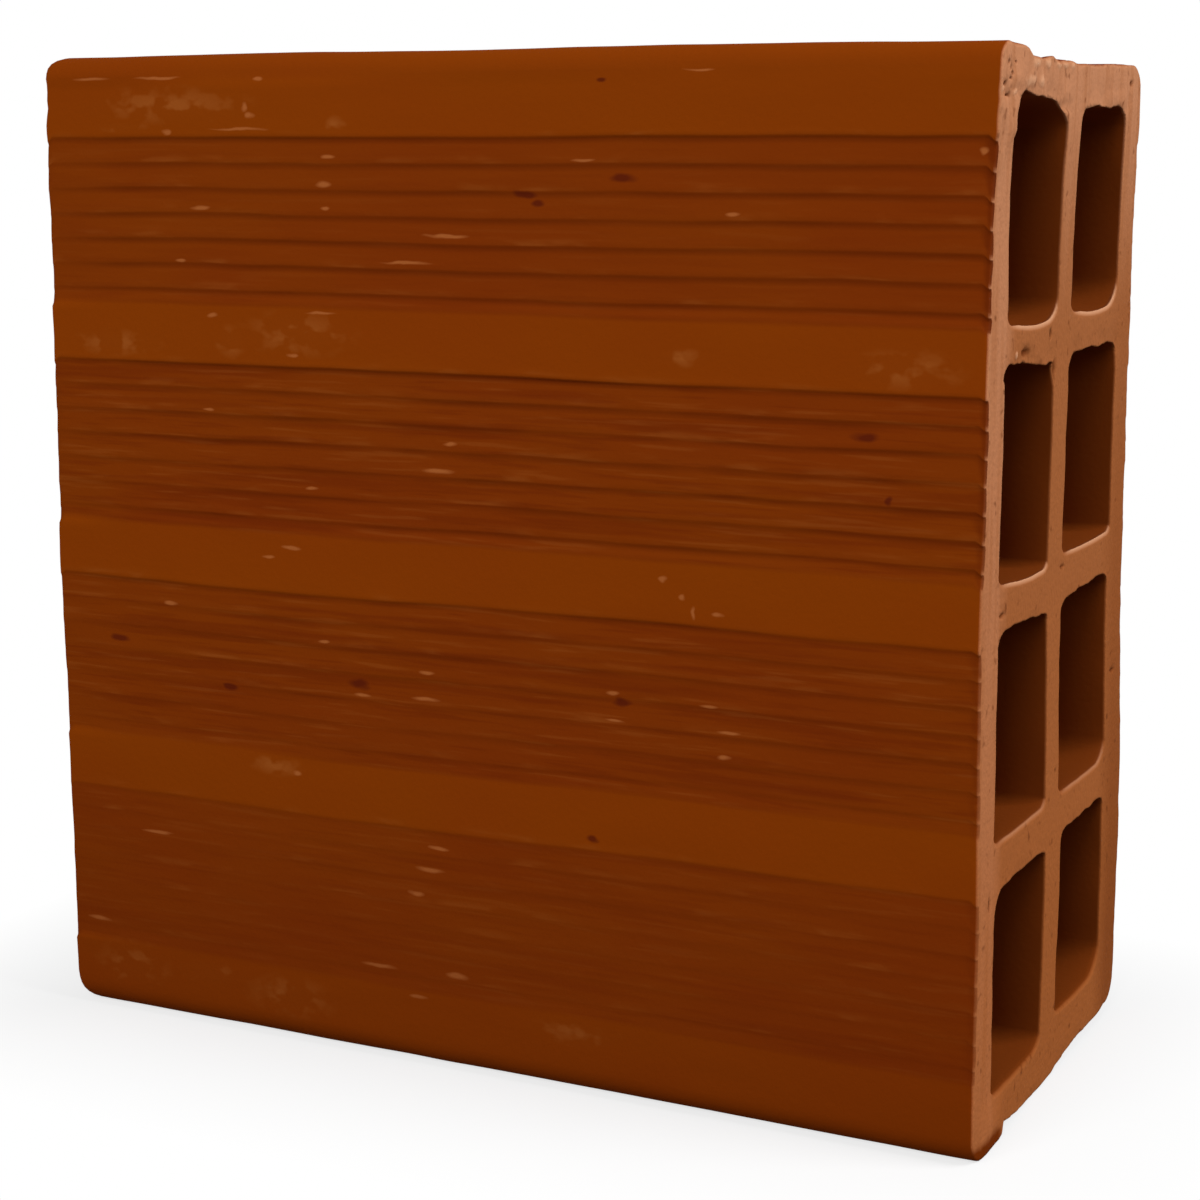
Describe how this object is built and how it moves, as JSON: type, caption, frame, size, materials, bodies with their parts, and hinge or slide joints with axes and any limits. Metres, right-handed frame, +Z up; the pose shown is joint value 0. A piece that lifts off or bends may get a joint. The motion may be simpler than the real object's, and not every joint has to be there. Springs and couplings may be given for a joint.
{
  "type": "hollow clay brick",
  "caption": "Hollow fired clay brick with open cells running its length, ribbed zones on its long faces and rough wire-cut ends, standing on a narrow face.",
  "frame": {"origin": "bottom centre of the brick, on the surface it stands on", "axes": "+Z up, +X along the cells towards the cut end seen in the picture, -Y towards the viewer of the broad ribbed face"},
  "size_m": [0.19, 0.09, 0.19],
  "materials": {
    "fired_clay": "matt, unglazed, with a smooth extruded skin and rough wire-cut ends"
  },
  "bodies": {
    "root": {"brick": "fired_clay"}
  },
  "joints": []
}
